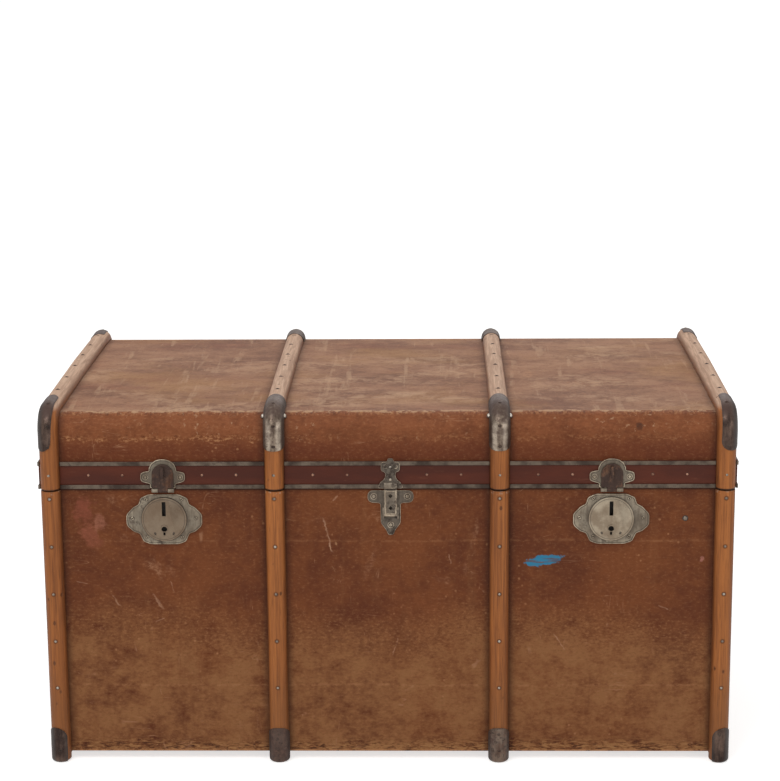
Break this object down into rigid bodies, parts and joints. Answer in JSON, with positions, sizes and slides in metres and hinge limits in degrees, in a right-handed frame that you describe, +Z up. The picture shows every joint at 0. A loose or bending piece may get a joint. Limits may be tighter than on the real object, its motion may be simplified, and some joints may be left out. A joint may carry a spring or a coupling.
{
  "type": "travelling trunk",
  "caption": "Slatted travelling trunk with a nearly flat bent lid, drum locks under flip-up hasps, a middle clasp, end bail handles and back hinges.",
  "frame": {"origin": "on the floor, in the middle of the outer box", "axes": "+X to the right along the length, +Y to the back, +Z up; the locks face -Y"},
  "size_m": [1.04, 0.5864, 0.5425],
  "materials": {
    "board": "poplar boards and ply, bare",
    "canvas": "brown painted canvas, worn",
    "lining": "plain cotton lining",
    "slat": "oiled hardwood, rubbed",
    "clip": "nickelled steel, worn and rusty",
    "band": "dark red-brown vulcanised fibre",
    "strip": "dull steel strip",
    "nickel": "tarnished nickel plate",
    "iron": "browned steel",
    "nail": "steel nail heads",
    "grip": "stitched brown leather"
  },
  "bodies": {
    "trunk": {"back_board": "board", "back_slat_1": "slat", "back_slat_2": "slat", "back_slat_3": "slat", "back_slat_4": "slat", "body_canvas": "canvas", "body_hinge_leaves": "iron", "body_lining": "lining", "body_nails": "nail", "bottom_board": "board", "bottom_runner_1": "slat", "bottom_runner_2": "slat", "bottom_runner_3": "slat", "bottom_runner_4": "slat", "clasp_base": "nickel", "clasp_pin": "iron", "closing_lip": "board", "corner_foot_clips": "clip", "front_board": "board", "front_slat_1": "slat", "front_slat_2": "slat", "front_slat_3": "slat", "front_slat_4": "slat", "hinge_pins": "iron", "left_end_board": "board", "left_handle_brackets": "iron", "lock_cases": "nickel", "lock_plates": "nickel", "lock_screws": "nail", "middle_foot_clips": "clip", "right_end_board": "board", "right_handle_brackets": "iron"},
    "lid": {"lid_canvas": "canvas", "lid_board": "board", "lid_left_end": "board", "lid_right_end": "board", "lid_lining": "lining", "lid_slat_1": "slat", "lid_slat_2": "slat", "lid_slat_3": "slat", "lid_slat_4": "slat", "middle_lid_clips": "clip", "corner_lid_clips": "clip", "rim_band": "band", "rim_strips": "strip", "hasp_plates": "nickel", "hasp_pins": "iron", "catch_plate": "nickel", "lid_hinge_leaves": "iron", "lid_nails": "nail"},
    "left_hasp": {"left_hasp": "nickel"},
    "right_hasp": {"right_hasp": "nickel"},
    "clasp_lever": {"clasp_lever": "nickel"},
    "left_lock_bolt": {"left_lock_bolt": "iron"},
    "right_lock_bolt": {"right_lock_bolt": "iron"},
    "left_handle": {"left_handle_bail": "iron", "left_handle_grip": "grip"},
    "right_handle": {"right_handle_bail": "iron", "right_handle_grip": "grip"}
  },
  "joints": [
    {"name": "lid_hinge", "type": "hinge", "parent": "trunk", "child": "lid", "pos_m": [0, 0.283, 0.415], "axis": [-1, 0, 0], "range_deg": [0, 95]},
    {"name": "left_hasp_hinge", "type": "hinge", "parent": "lid", "child": "left_hasp", "pos_m": [-0.321, -0.28115, 0.413], "axis": [1, 0, 0], "range_deg": [0, 180]},
    {"name": "right_hasp_hinge", "type": "hinge", "parent": "lid", "child": "right_hasp", "pos_m": [0.321, -0.28115, 0.413], "axis": [1, 0, 0], "range_deg": [0, 180]},
    {"name": "clasp_lever_hinge", "type": "hinge", "parent": "trunk", "child": "clasp_lever", "pos_m": [0.005, -0.2805, 0.3755], "axis": [1, 0, 0], "range_deg": [0, 110]},
    {"name": "left_bolt_slide", "type": "slide", "parent": "trunk", "child": "left_lock_bolt", "axis": [1, 0, 0], "range_m": [0, 0.008]},
    {"name": "right_bolt_slide", "type": "slide", "parent": "trunk", "child": "right_lock_bolt", "axis": [1, 0, 0], "range_m": [0, 0.008]},
    {"name": "left_handle_swing", "type": "hinge", "parent": "trunk", "child": "left_handle", "pos_m": [-0.51, 0, 0.285], "axis": [0, 1, 0], "range_deg": [0, 110]},
    {"name": "right_handle_swing", "type": "hinge", "parent": "trunk", "child": "right_handle", "pos_m": [0.51, 0, 0.285], "axis": [0, -1, 0], "range_deg": [0, 110]}
  ]
}
